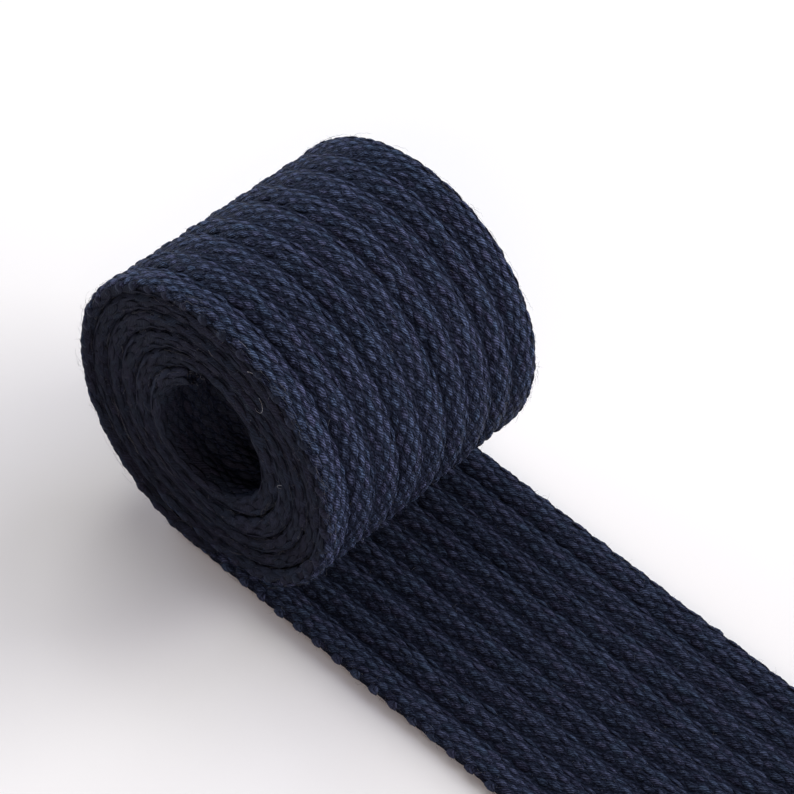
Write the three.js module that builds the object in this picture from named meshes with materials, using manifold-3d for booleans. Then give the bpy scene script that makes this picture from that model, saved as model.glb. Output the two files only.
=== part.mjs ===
// A roll of heavy ribbed cotton tape, standing on its wound side with its loose end laid out flat.
//
// Millimetres, +Z up. The tape is one strip: it lies on the surface along +X, passes under the roll
// and winds up over the -X side, over the top and down the +X side, turn inside turn, to a short tail
// that rests in the open eye. The roll's axis runs along Y. The origin is the point of the surface
// below the roll's axis, in the middle of the tape's width.
//
// Two solids: the wound roll, with its ribs, its turns cut into both end faces and its eye open from
// end to end, and the loose end, which starts under the roll where the outermost turn leaves it.

import * as THREE from 'three';
import { mergeVertices } from 'three/addons/utils/BufferGeometryUtils.js';
import Module from 'manifold-3d';

// The tape
const TAPE_WIDTH = 50;
const TAPE_THICKNESS = 2.8;
const RIB_COUNT = 9;
const RIB_DEPTH = 0.4; // from a rib's crest down to the groove, on each face
const CREST_SHARE = 0.48; // flat crest as a share of a rib's width
const EDGE_RIB_WIDTH = 5.25; // the ribs along the two selvedges are a little narrower
const INNER_RIB_WIDTH = (TAPE_WIDTH - 2 * EDGE_RIB_WIDTH) / (RIB_COUNT - 2);

// The roll
const AXIS_HEIGHT = 28.3;
const TAIL_TURN = 5.46; // turns from under the roll to the end of the tail
const OUTSIDE_STEP = 1 / 56; // of a turn, between points of the outside
const EYE_STEP = 1 / 30; // of a turn, between points of the eye
const GROOVE_STEP = 1 / 28; // of a turn, between points of the line between two turns
const GROOVE_DEPTH = 1.6;
const GROOVE_PAST_TAIL = 0.01; // of a turn, so that the line runs out into the eye
const EDGE_ROUNDING = 0.35; // what the round selvedge adds to each side of that line

// The loose end
const SPLIT_X = 3; // where the outermost turn ends and the loose end starts
const SEAT_GAP = 0.3; // left between the two solids
const CUT_END_X = 118;

// Distance from the roll's axis to the middle of the tape's thickness, a row for each turn from the
// outside in. The tape runs through the columns from left to right: under the roll, up the -X side,
// over the top and down the +X side. It is wound loosely, so the turns part here and there.
const WINDING = [
  {
    under: 27.3, lowLeft: 27.0, left: 27.0, topLeft: 27.1,
    top: 27.4, topRight: 28.1, right: 28.8, lowRight: 27.7,
  },
  {
    under: 23.6, lowLeft: 23.9, left: 24.1, topLeft: 24.0,
    top: 24.0, topRight: 24.7, right: 25.5, lowRight: 24.4,
  },
  {
    under: 20.7, lowLeft: 20.9, left: 20.7, topLeft: 20.7,
    top: 21.0, topRight: 21.8, right: 22.6, lowRight: 21.5,
  },
  {
    under: 17.8, lowLeft: 17.9, left: 17.4, topLeft: 17.3,
    top: 18.0, topRight: 18.9, right: 19.7, lowRight: 18.5,
  },
  {
    under: 14.9, lowLeft: 14.7, left: 13.8, topLeft: 13.6,
    top: 14.5, topRight: 14.8, right: 15.0, lowRight: 14.0,
  },
  { under: 12.0, lowLeft: 11.1, left: 9.6, topLeft: 9.9, top: 11.5 },
];
const RADII = WINDING.flatMap((turn) => Object.values(turn));
const COLUMNS = Object.keys(WINDING[0]).length;

// The ribs, from one selvedge to the other: where each starts, and its flat crest between two flanks.
const RIBS = Array.from({ length: RIB_COUNT }, (_, rib) => {
  const width = rib === 0 || rib === RIB_COUNT - 1 ? EDGE_RIB_WIDTH : INNER_RIB_WIDTH;
  const start = -TAPE_WIDTH / 2 + (rib === 0 ? 0 : EDGE_RIB_WIDTH + (rib - 1) * INNER_RIB_WIDTH);
  const flank = (width * (1 - CREST_SHARE)) / 2;
  return { start, flank, crestStart: start + flank, crestEnd: start + width - flank };
});

// Distance from the axis at a place along the winding, in turns, by a smooth curve through the table.
function windingRadius(turns) {
  const place = THREE.MathUtils.clamp(turns * COLUMNS, 0, RADII.length - 1);
  const index = Math.min(Math.floor(place), RADII.length - 2);
  const before = RADII[Math.max(index - 1, 0)];
  const after = RADII[Math.min(index + 2, RADII.length - 1)];
  const [from, to] = [RADII[index], RADII[index + 1]];
  const share = place - index;
  const bend = share * (2 * before - 5 * from + 4 * to - after + share * (3 * (from - to) + after - before));
  return from + 0.5 * share * (to - before + bend);
}

// A point of the section, in x and z, at a place along the winding and a distance from its middle line.
function windingPoint(turns, offset) {
  const radius = windingRadius(turns) + offset;
  const angle = turns * 2 * Math.PI;
  const x = -radius * Math.sin(angle);
  const z = AXIS_HEIGHT - radius * Math.cos(angle);
  return new THREE.Vector2(x, Math.max(z, 0));
}

// Points from one place along the winding to another, with a given step.
function windingRun(fromTurns, toTurns, step, offset) {
  const count = Math.max(1, Math.round(Math.abs(toTurns - fromTurns) / step));
  return Array.from({ length: count + 1 }, (_, i) =>
    windingPoint(THREE.MathUtils.lerp(fromTurns, toTurns, i / count), offset));
}

// The outside: flat under the roll, once round, and pressed flat again where it sits on the loose end.
function outsidePoints() {
  const lastRadius = windingRadius(1) + TAPE_THICKNESS / 2;
  const lastTurn = 1 - Math.asin(SPLIT_X / lastRadius) / (2 * Math.PI);
  const run = windingRun(0, lastTurn, OUTSIDE_STEP, TAPE_THICKNESS / 2);
  const lifted = run.findIndex((point) => point.y > 0);
  const seat = TAPE_THICKNESS + SEAT_GAP;
  for (const point of run.slice(run.length / 2)) {
    point.y = Math.max(point.y, seat);
  }
  return [new THREE.Vector2(SPLIT_X, 0), ...run.slice(lifted - 1, -1), new THREE.Vector2(SPLIT_X, seat)];
}

// The eye: the inside of the innermost stretch up to the tail's end, then the turn that it rests in.
// It runs the other way round from the outside, as a hole does.
function eyePoints() {
  const tail = windingRun(5, TAIL_TURN, EYE_STEP, -TAPE_THICKNESS / 2);
  const turn = windingRun(TAIL_TURN - 1, 5, EYE_STEP, -TAPE_THICKNESS / 2);
  return [...tail, ...turn.slice(0, -1)].reverse();
}

// A closed mesh as a solid that can be joined and cut.
const MERGE_DISTANCE = 1e-4;
const wasm = await Module();
wasm.setup();

function toSolid(geometry) {
  const bare = geometry.clone();
  bare.deleteAttribute('normal');
  bare.deleteAttribute('uv');
  const merged = mergeVertices(bare, MERGE_DISTANCE);
  const vertProperties = new Float32Array(merged.attributes.position.array);
  const triVerts = new Uint32Array(merged.index.array);
  return new wasm.Manifold(new wasm.Mesh({ numProp: 3, vertProperties, triVerts }));
}

function toGeometry(solid) {
  const mesh = solid.getMesh();
  const geometry = new THREE.BufferGeometry();
  geometry.setAttribute('position', new THREE.BufferAttribute(new Float32Array(mesh.vertProperties), 3));
  geometry.setIndex(new THREE.BufferAttribute(new Uint32Array(mesh.triVerts), 1));
  geometry.computeVertexNormals();
  return geometry;
}

// Sections lie in x and z and run along -Y, or lie in y and z and run along +X.
const ALONG_ROLL = new THREE.Matrix4().makeBasis(
  new THREE.Vector3(1, 0, 0), new THREE.Vector3(0, 0, 1), new THREE.Vector3(0, -1, 0));
const ALONG_TAPE = new THREE.Matrix4().makeBasis(
  new THREE.Vector3(0, 1, 0), new THREE.Vector3(0, 0, 1), new THREE.Vector3(1, 0, 0));

// One rib of the roll: a slice of the section with a flat crest and sloping flanks, outside and in the eye.
function ribSlice(rib) {
  const section = new THREE.Shape(outsidePoints());
  section.holes.push(new THREE.Path(eyePoints()));
  const slice = new THREE.ExtrudeGeometry(section, {
    depth: rib.crestEnd - rib.crestStart,
    bevelEnabled: true,
    bevelThickness: rib.flank,
    bevelSize: RIB_DEPTH,
    bevelOffset: -RIB_DEPTH,
    bevelSegments: 1,
    curveSegments: 1,
  });
  slice.applyMatrix4(ALONG_ROLL);
  slice.translate(0, rib.crestEnd, 0);
  return slice;
}

// The line between two turns as it shows in an end face: as wide as they are apart, plus the rounding
// of both selvedges, from under the roll to the end of the tail.
function turnGroove(endFaceY) {
  const lastTurn = TAIL_TURN - 1 + GROOVE_PAST_TAIL;
  const outer = windingRun(0, lastTurn, GROOVE_STEP, -TAPE_THICKNESS / 2 + EDGE_ROUNDING);
  const inner = windingRun(1, lastTurn + 1, GROOVE_STEP, TAPE_THICKNESS / 2 - EDGE_ROUNDING);
  const groove = new THREE.ExtrudeGeometry(new THREE.Shape([...outer, ...inner.reverse()]), {
    depth: 2 * GROOVE_DEPTH,
    bevelEnabled: false,
    curveSegments: 1,
  });
  groove.applyMatrix4(ALONG_ROLL);
  groove.translate(0, endFaceY + GROOVE_DEPTH, 0);
  return groove;
}

function rollGeometry() {
  const [first, ...rest] = RIBS;
  let roll = toSolid(ribSlice(first));
  for (const rib of rest) {
    roll = roll.add(toSolid(ribSlice(rib)));
  }
  for (const endFaceY of [-TAPE_WIDTH / 2, TAPE_WIDTH / 2]) {
    roll = roll.subtract(toSolid(turnGroove(endFaceY)));
  }
  return toGeometry(roll);
}

// The loose end's section has the same ribs on its upper and its lower face.
function looseEndGeometry() {
  const upper = [];
  const lower = [];
  for (const rib of RIBS) {
    lower.push([rib.start, RIB_DEPTH], [rib.crestStart, 0], [rib.crestEnd, 0]);
    upper.push([rib.start, TAPE_THICKNESS - RIB_DEPTH]);
    upper.push([rib.crestStart, TAPE_THICKNESS], [rib.crestEnd, TAPE_THICKNESS]);
  }
  lower.push([TAPE_WIDTH / 2, RIB_DEPTH]);
  upper.push([TAPE_WIDTH / 2, TAPE_THICKNESS - RIB_DEPTH]);
  const outline = [...lower, ...upper.reverse()].map(([y, z]) => new THREE.Vector2(y, z));
  const start = SPLIT_X + SEAT_GAP;
  const strip = new THREE.ExtrudeGeometry(new THREE.Shape(outline), {
    depth: CUT_END_X - start,
    bevelEnabled: false,
    curveSegments: 1,
  });
  strip.applyMatrix4(ALONG_TAPE);
  strip.translate(start, 0, 0);
  return strip;
}

// Both pieces are the same navy cotton.
const cotton = { color: 0x1a2238, roughness: 0.95, metalness: 0 };

const roll = new THREE.Mesh(rollGeometry(), new THREE.MeshStandardMaterial(cotton));
roll.name = 'tape_roll';

const looseEnd = new THREE.Mesh(looseEndGeometry(), new THREE.MeshStandardMaterial(cotton));
looseEnd.name = 'loose_end';

const tape = new THREE.Group();
tape.add(roll, looseEnd);

export default tape;
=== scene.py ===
"""A roll of heavy ribbed cotton tape, wound loosely and standing on its side, its loose end laid flat.

The tape is built the way it is woven. A ground strip follows the tape's own line, from the cut end,
under the roll and round it to the tail in the eye. The warp yarns show on both of its faces as rows
of short stitches, which lie in nine round ribs and wrap round both selvedges. Cut yarn ends, fuzz and
a little lint finish it.

Sizes of the tape are in millimetres, and each mesh is written in metres, in the frame's own axes: the
loose end runs along +X, the roll's axis along Y, and the surface is at zero height. A place along the
tape is its length from the cut end, and a place in the roll is also given in turns from under it.
"""

import logging
import math
from dataclasses import dataclass, field
from enum import Enum
from typing import NamedTuple

import bpy
import numpy as np
from mathutils import Matrix, Vector


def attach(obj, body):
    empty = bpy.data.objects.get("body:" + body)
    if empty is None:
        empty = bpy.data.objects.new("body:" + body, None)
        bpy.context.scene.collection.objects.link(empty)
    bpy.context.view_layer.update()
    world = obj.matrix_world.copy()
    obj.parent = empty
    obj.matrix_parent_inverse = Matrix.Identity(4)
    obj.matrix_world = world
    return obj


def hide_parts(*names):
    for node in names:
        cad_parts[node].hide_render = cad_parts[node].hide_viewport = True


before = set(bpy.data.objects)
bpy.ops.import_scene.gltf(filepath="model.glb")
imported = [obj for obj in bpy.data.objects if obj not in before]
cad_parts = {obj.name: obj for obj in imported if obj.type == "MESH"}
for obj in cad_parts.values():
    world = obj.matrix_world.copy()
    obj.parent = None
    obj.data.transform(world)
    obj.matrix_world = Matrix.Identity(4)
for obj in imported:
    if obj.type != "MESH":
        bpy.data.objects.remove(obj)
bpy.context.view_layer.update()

log = logging.getLogger("cotton_tape")
MM = 0.001
TINY = 1e-9
SEED = 20417
YARN_SPAN = 50.0  # each stitch takes its plies from a place of its own within this length of yarn
CELL_MARGIN, CELL_SHARE = 0.1, 0.8  # of a bake cell: the rim that is left free, and what is used
LEAST_BAKE_SHARE = 0.02  # of the bake map's width, for the smallest lot of a piece

Colour = tuple[float, float, float]
Seat = tuple[np.ndarray, np.ndarray, np.ndarray]  # y, height and lean of places on the flat tape


class Side(Enum):
    """A side of the tape, named by where it lies in the roll."""

    OUTSIDE = "outside"
    INSIDE = "inside"


class Turn(NamedTuple):
    """One turn of the winding: the distance from the roll's axis to the middle of the tape, in mm."""

    under: float
    low_left: float
    left: float
    top_left: float
    top: float
    top_right: float = math.nan
    right: float = math.nan
    low_right: float = math.nan


WINDING = (
    Turn(27.3, 27.0, 27.0, 27.1, 27.4, 28.1, 28.8, 27.7),
    Turn(23.6, 23.9, 24.1, 24.0, 24.0, 24.7, 25.5, 24.4),
    Turn(20.7, 20.9, 20.7, 20.7, 21.0, 21.8, 22.6, 21.5),
    Turn(17.8, 17.9, 17.4, 17.3, 18.0, 18.9, 19.7, 18.5),
    Turn(14.9, 14.7, 13.8, 13.6, 14.5, 14.8, 15.0, 14.0),
    Turn(12.0, 11.1, 9.6, 9.9, 11.5),
)


def smooth_step(values: np.ndarray, low: float, high: float) -> np.ndarray:
    """Rises smoothly from 0 at low to 1 at high.

    Args:
        values: the places to look at.
        low: where the rise starts.
        high: where it ends.

    Returns:
        A share from 0 to 1 for each place.
    """
    share = np.clip((values - low) / (high - low), 0.0, 1.0)
    return share * share * (3.0 - 2.0 * share)


def tube_faces(rings: int, around: int) -> tuple[np.ndarray, np.ndarray]:
    """Faces of a tube whose points are numbered ring after ring.

    Args:
        rings: how many rings it has.
        around: how many points each ring has.

    Returns:
        The quads, a row of four corners for each, and the corners of the first and the last end.
    """
    ring, place = (g.ravel() for g in np.meshgrid(np.arange(rings - 1), np.arange(around), indexing="ij"))
    after = (place + 1) % around
    corners = ((ring, place), (ring + 1, place), (ring + 1, after), (ring, after))
    ends = np.stack([np.arange(around), (rings - 1) * around + np.arange(around)[::-1]])
    return np.stack([r * around + p for r, p in corners], 1), ends


def cells(count: int, wide: int) -> np.ndarray:
    """Gives each of a number of small forms a cell of its own, across and up, so many cells wide."""
    index = np.arange(count)
    return np.stack([index % wide, index // wide], 1)[:, None]


@dataclass(frozen=True)
class TapeSection:
    """What a cut across the tape shows: nine round ribs on each face and a round selvedge on each side."""

    width: float = 50.5
    thickness: float = 2.8
    ribs: int = 9
    edge_rib: float = 5.5
    rib_fall: float = 0.75
    rib_power: float = 1.1
    valley_start: float = 0.78
    valley_depth: float = 0.3
    valley_free: float = 0.2
    selvedge_reach: float = 1.3
    squareness: float = 0.72
    shoulder_fall: float = 0.35
    rib_columns: int = 6
    edge_columns: int = 16
    # Lighter crests, partly wear and partly painted light, and darker valleys as painted shade.
    crest_wear_and_valley_shade: float = 0.9
    face_points: int = 961
    turn_points: int = 33
    lean_reach: float = 0.45

    @property
    def inner_rib(self) -> float:
        """Width of each rib between the two along the selvedges."""
        return (self.width - 2.0 * self.edge_rib) / (self.ribs - 2)

    @property
    def flat_reach(self) -> float:
        """Distance from the middle of the width to where the selvedge starts to turn."""
        return self.width / 2.0 - self.selvedge_reach

    @property
    def edge_valley(self) -> float:
        """Distance from the middle of the width to the valley beside a selvedge rib."""
        return self.width / 2.0 - self.edge_rib

    def height(self, across: np.ndarray) -> np.ndarray:
        """Height of a face above the middle of the tape's thickness.

        Args:
            across: places across the width, from the middle.

        Returns:
            The height at each place, in mm.
        """
        reach = np.abs(across)
        place = np.mod(reach / self.inner_rib + 0.5, 1.0) * 2.0 - 1.0
        at_edge = reach > self.edge_valley
        place = np.where(at_edge, (reach - self.edge_valley) / self.edge_rib * 2.0 - 1.0, place)
        away = np.abs(place)
        valley = self.valley_depth * smooth_step(away, self.valley_start, 1.0)
        shoulder = np.where(at_edge & (place > 0), self.shoulder_fall, 1.0)
        return self.thickness / 2.0 - (self.rib_fall * away**self.rib_power + valley) * shoulder

    def wear_and_shade(self, height: np.ndarray) -> np.ndarray:
        """How much lighter in tone the cotton is on the ribs' crests, partly for wear and partly as painted
        light, and how much darker in the valleys, as painted shade.

        Args:
            height: heights above the middle of the tape's thickness, on either face.

        Returns:
            What to add to the tone at each place.
        """
        valley = self.thickness / 2.0 - self.rib_fall - self.valley_depth
        return self.crest_wear_and_valley_shade * (smooth_step(np.abs(height), valley, self.thickness / 2.0) - 0.5)

    def outline(self) -> np.ndarray:
        """Points round the section, in y and height, from one valley round the whole tape and back.

        Returns:
            An array of closely spaced points, anticlockwise seen from the cut end, not repeated.
        """
        across = np.linspace(-self.flat_reach, self.flat_reach, self.face_points)
        turn = np.linspace(0.0, math.pi, self.turn_points)[1:-1]
        rise = float(self.height(np.array([self.flat_reach]))[0])
        top = np.stack([across, self.height(across)], 1)
        bulge, lift = np.sin(turn) ** self.squareness, np.abs(np.cos(turn)) ** self.squareness
        lift = rise * np.sign(np.cos(turn)) * lift
        bend = np.stack([self.flat_reach + self.selvedge_reach * bulge, lift], 1)
        return np.concatenate([top, bend, -top, -bend])

    def walk(self) -> tuple[np.ndarray, np.ndarray]:
        """The outline as a closed loop, and the distance gone at each of its points."""
        line = self.outline()
        line = np.concatenate([line, line[:1]])
        return line, np.concatenate([[0.0], np.cumsum(np.linalg.norm(np.diff(line, axis=0), axis=1))])

    def places(self, spacing: np.ndarray) -> np.ndarray:
        """Places on the outline at given distances round it.

        Args:
            spacing: distances round the outline, from its first point.

        Returns:
            For each place: y, height, and the lean of the surface there, in radians from the outside.
        """
        line, gone = self.walk()

        def points(step: float) -> np.ndarray:
            """Points of the outline, one a step on from each place."""
            stops = np.mod(spacing + step, gone[-1])
            return np.stack([np.interp(stops, gone, line[:, i]) for i in (0, 1)], 1)

        along = points(self.lean_reach) - points(-self.lean_reach)
        return np.column_stack([points(0.0), np.arctan2(-along[:, 1], along[:, 0])])

    def round_length(self, across: float) -> float:
        """Distance round the outline from its start to a place on the outside face."""
        line, gone = self.walk()
        return float(gone[np.searchsorted(line[: self.face_points, 0], across) - 1])

    def whole_round(self) -> float:
        """Distance once round the outline."""
        return float(self.walk()[1][-1])

    def edge_middle(self, side: int) -> float:
        """Distance round the outline to a selvedge's very edge: 1 for the +Y one, -1 for the other."""
        half, face = self.whole_round() / 2.0, self.round_length(self.flat_reach)
        return face + (half - face) / 2.0 + (0.0 if side > 0 else half)

    def columns(self) -> np.ndarray:
        """Where the columns of warp stitches lie, round the section.

        Returns:
            A row for each column: y, height, lean. The outside face comes first, from -Y to +Y, then
            the +Y selvedge, the inside face and the -Y selvedge.
        """
        half = self.whole_round() / 2.0
        marks = [self.round_length(i * self.inner_rib - self.edge_valley) for i in range(self.ribs - 1)]
        stretches = [(start, end, self.rib_columns) for start, end in zip(marks[:-1], marks[1:])]
        stretches.append((marks[-1], half + marks[0], self.edge_columns))
        spacing = []
        for face in (0.0, half):
            for start, end, count in stretches:
                step = (end - start - 2.0 * self.valley_free) / count
                spacing += [face + start + self.valley_free + (i + 0.5) * step for i in range(count)]
        return self.places(np.array(spacing))


@dataclass
class TapeLine:
    """The line of the middle of the tape's thickness, from the cut end to the tail in the eye."""

    section: TapeSection
    axis_height: float = 28.3
    cut_end: float = 118.0
    tail_turn: float = 5.46
    step: float = 0.25
    rough_step: float = 0.1
    rough_turns: int = 9000
    smoothing: int = 9
    tangent_reach: float = 0.8
    seat: float = 0.1
    fullest: float = 1.7
    press: float = 1.03
    free_turn: float = 1.02
    filling: tuple[float, float] = (0.1, 0.3)
    winding: tuple[float, float] = (0.02, 0.25)
    sag: float = 0.9
    sag_turn: float = 0.72
    sag_spread: float = 0.16
    sag_across: tuple[float, float] = (-5.0, 25.0)
    sag_end: tuple[float, float] = (0.95, 1.1)
    sways: tuple[tuple[float, float, float], ...] = ((0.22, 23.0, 0.7), (0.16, 9.5, 2.0))
    inner_shift: float = 0.55
    inner_turn: tuple[float, float] = (0.95, 1.35)
    x: np.ndarray = field(init=False)
    z: np.ndarray = field(init=False)
    turns: np.ndarray = field(init=False)
    gone: np.ndarray = field(init=False)

    def __post_init__(self) -> None:
        """Lays out the line at even steps."""
        half = self.section.thickness / 2.0
        loose = np.arange(self.cut_end, 0.0, -self.rough_step)
        turns = np.linspace(0.0, self.tail_turn, self.rough_turns)
        radius, angle = self.radius(turns), turns * 2.0 * math.pi
        x = np.concatenate([loose, -radius * np.sin(angle)])
        z = np.concatenate([np.full(len(loose), half), self.axis_height - radius * np.cos(angle)])
        turns = np.concatenate([np.zeros(len(loose)), turns])
        lowest = np.where(turns < 0.5, half, 3.0 * half + self.seat)
        z = np.where(turns < 1.5, np.maximum(z, lowest), z)
        gone = np.concatenate([[0.0], np.cumsum(np.hypot(np.diff(x), np.diff(z)))])
        self.gone = np.arange(0.0, gone[-1], self.step)
        self.turns = np.interp(self.gone, gone, turns)
        window = np.hanning(2 * self.smoothing + 1)
        window /= window.sum()

        def smoothed(line: np.ndarray) -> np.ndarray:
            """The line at even steps, with its sharp bends eased."""
            even = np.interp(self.gone, gone, line)
            even = np.pad(even, self.smoothing, mode="reflect", reflect_type="odd")
            return np.convolve(even, window, mode="valid")

        self.x, self.z = smoothed(x), smoothed(z)

    @staticmethod
    def radius(turns: np.ndarray) -> np.ndarray:
        """Distance from the roll's axis along the winding, by a smooth curve through the table.

        Args:
            turns: places along the winding, in turns from under the roll.

        Returns:
            The distance at each place, in mm.
        """
        radii = np.array([r for turn in WINDING for r in turn if not math.isnan(r)])
        place = np.clip(turns * len(Turn._fields), 0, len(radii) - 1)
        index = np.minimum(place.astype(int), len(radii) - 2)
        before, start = radii[np.maximum(index - 1, 0)], radii[index]
        end, after = radii[index + 1], radii[np.minimum(index + 2, len(radii) - 1)]
        share = place - index
        bend = 2 * before - 5 * start + 4 * end - after + share * (3 * (start - end) + after - before)
        return start + 0.5 * share * (end - before + share * bend)

    @property
    def length(self) -> float:
        """The tape's whole length."""
        return float(self.gone[-1])

    def at_turn(self, turn: float) -> float:
        """Length from the cut end to a place along the winding."""
        return float(np.interp(turn, self.turns, self.gone))

    def at_x(self, x: float) -> float:
        """Length from the cut end to a place on the loose stretch."""
        return self.cut_end - x

    def place(self, along: np.ndarray, across: np.ndarray, height: np.ndarray) -> np.ndarray:
        """Puts points of the flat tape where they lie.

        Args:
            along: lengths from the cut end.
            across: places across the width.
            height: heights above the middle of the thickness, towards the roll's outside.

        Returns:
            The points in the frame's axes, in mm, in an array of the same form with x, y and z last.
        """
        tx, tz = (
            np.interp(along + self.tangent_reach, self.gone, line)
            - np.interp(along - self.tangent_reach, self.gone, line)
            for line in (self.x, self.z)
        )
        size = np.maximum(np.hypot(tx, tz), TINY)
        tx, tz = tx / size, tz / size
        past = np.maximum(along - self.length, 0.0) + np.minimum(along, 0.0)
        x = np.interp(along, self.gone, self.x) + tx * past
        z = np.interp(along, self.gone, self.z) + tz * past
        turns = np.interp(along, self.gone, self.turns)
        wound = smooth_step(turns, *self.winding)
        height = height * self.fullness(turns, height) - wound * self.slack(turns, across)
        across = across + wound * self.sway(along, turns)
        return np.stack([x - tz * height, across, z + tx * height], -1)

    def stand(self, seat: Seat, along: np.ndarray, side: np.ndarray | float, up: np.ndarray) -> np.ndarray:
        """Puts points that stand beside or above a seat on the flat tape where they lie.

        Args:
            seat: the places on the surface that they start from.
            along: lengths from the cut end.
            side: steps from the seat along the surface, across the tape.
            up: steps straight away from the surface.

        Returns:
            The points, as place gives them.
        """
        y, height, lean = seat
        across = y + side * np.cos(lean) + up * np.sin(lean)
        return self.place(along, across, height - side * np.sin(lean) + up * np.cos(lean))

    def fullness(self, turns: np.ndarray, height: np.ndarray) -> np.ndarray:
        """How much fuller the soft tape is where its turns have room between them.

        Args:
            turns: places along the winding.
            height: heights of the same places, whose sign tells the outside from the inside.

        Returns:
            A share from 1 up, by which each height grows.
        """
        here = self.radius(turns)
        room_out = np.where(turns > self.free_turn, self.radius(np.maximum(turns - 1.0, 0.0)) - here, 0.0)
        has_inner = turns < self.tail_turn - self.free_turn
        room_in = np.where(has_inner, here - self.radius(turns + 1.0), 0.0)
        room = np.where(height > 0, room_out, room_in) / self.section.thickness
        wound = smooth_step(turns, *self.filling)
        return 1.0 + wound * (np.clip(self.press * room, 1.0, self.fullest) - 1.0)

    def slack(self, turns: np.ndarray, across: np.ndarray) -> np.ndarray:
        """How far the outermost turn sags on the roll's right, towards its far rim.

        Args:
            turns: places along the winding.
            across: the same places across the width.

        Returns:
            The sag at each place, in mm.
        """
        right = np.exp(-(((turns - self.sag_turn) / self.sag_spread) ** 2))
        outermost = 1.0 - smooth_step(turns, *self.sag_end)
        return self.sag * smooth_step(across, *self.sag_across) * right * outermost

    def sway(self, along: np.ndarray, turns: np.ndarray) -> np.ndarray:
        """How far the wound tape wanders to the side, because it was rolled by hand.

        Args:
            along: lengths from the cut end.
            turns: the same places in turns.

        Returns:
            The shift along the roll's axis at each place, in mm.
        """
        slow = sum(reach * np.sin(along / wave + phase) for reach, wave, phase in self.sways)
        return slow + self.inner_shift * smooth_step(turns, *self.inner_turn)


@dataclass
class MeshParts:
    """Points and faces of a piece, gathered before its mesh is made."""

    points: np.ndarray
    corners: np.ndarray
    counts: np.ndarray
    yarn: np.ndarray
    bake: np.ndarray
    tone: np.ndarray
    depth: np.ndarray

    @staticmethod
    def copies(
        points: np.ndarray,
        corners: np.ndarray,
        counts: np.ndarray,
        yarn: np.ndarray,
        bake: np.ndarray,
        tone: np.ndarray,
        depth: np.ndarray,
    ) -> "MeshParts":
        """Gathers many copies of one small form.

        Args:
            points: the points of all copies, one copy after another.
            corners: the corners of one copy's faces.
            counts: how many corners each of those faces has.
            yarn: places along and round the yarn, for the corners of all copies.
            bake: places on the bake map, for the corners of all copies.
            tone: the tone of each copy.
            depth: how deep each point of one copy lies, which sets its painted shade and how much painted
                highlight it takes.

        Returns:
            All copies as one lot.
        """
        count, size = len(tone), len(depth)
        return MeshParts(
            points.reshape(-1, 3),
            (corners + (np.arange(count) * size)[:, None]).ravel(),
            np.tile(counts, count),
            yarn.reshape(-1, 2),
            bake.reshape(-1, 2),
            tone.repeat(size),
            np.tile(depth, count),
        )

    @staticmethod
    def join(parts: "list[MeshParts]") -> "MeshParts":
        """Joins several lots into one, with the bake maps side by side.

        Args:
            parts: the lots to join.

        Returns:
            All of them as one.
        """
        starts = np.cumsum([0] + [len(p.points) for p in parts[:-1]])
        share = np.array([len(p.corners) for p in parts], float)
        share = np.maximum(share / share.sum(), LEAST_BAKE_SHARE)
        share /= share.sum()
        left = np.concatenate([[0.0], np.cumsum(share)[:-1]])
        plain = ("points", "counts", "yarn", "tone", "depth")
        return MeshParts(
            corners=np.concatenate([p.corners + n for p, n in zip(parts, starts)]),
            bake=np.concatenate([p.bake * [w, 1.0] + [x, 0.0] for p, w, x in zip(parts, share, left)]),
            **{name: np.concatenate([getattr(p, name) for p in parts]) for name in plain},
        )

    def build(self, name: str, material: bpy.types.Material) -> bpy.types.Object:
        """Makes the piece's mesh and object.

        Args:
            name: the piece's name.
            material: its finish.

        Returns:
            The object, linked to the scene.
        """
        mesh = bpy.data.meshes.new(name)
        mesh.vertices.add(len(self.points))
        mesh.vertices.foreach_set("co", (self.points * MM).astype(np.float32).ravel())
        mesh.loops.add(len(self.corners))
        mesh.loops.foreach_set("vertex_index", self.corners.astype(np.int32))
        mesh.polygons.add(len(self.counts))
        starts = np.concatenate([[0], np.cumsum(self.counts)[:-1]])
        mesh.polygons.foreach_set("loop_start", starts.astype(np.int32))
        mesh.update(calc_edges=True)
        mesh.validate()
        for label, values in (("Yarn", self.yarn), ("OFBake", self.bake)):
            layer = mesh.uv_layers.new(name=label, do_init=False)
            layer.uv.foreach_set("vector", values.astype(np.float32).ravel())
        for label, values in (("tone", self.tone), ("depth", self.depth)):
            layer = mesh.attributes.new(label, "FLOAT", "POINT")
            layer.data.foreach_set("value", values.astype(np.float32))
        mesh.shade_smooth()
        mesh.materials.append(material)
        piece = bpy.data.objects.new(name, mesh)
        bpy.context.scene.collection.objects.link(piece)
        log.info("%s: %d triangles", name, int((self.counts - 2).sum()))
        return piece


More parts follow.
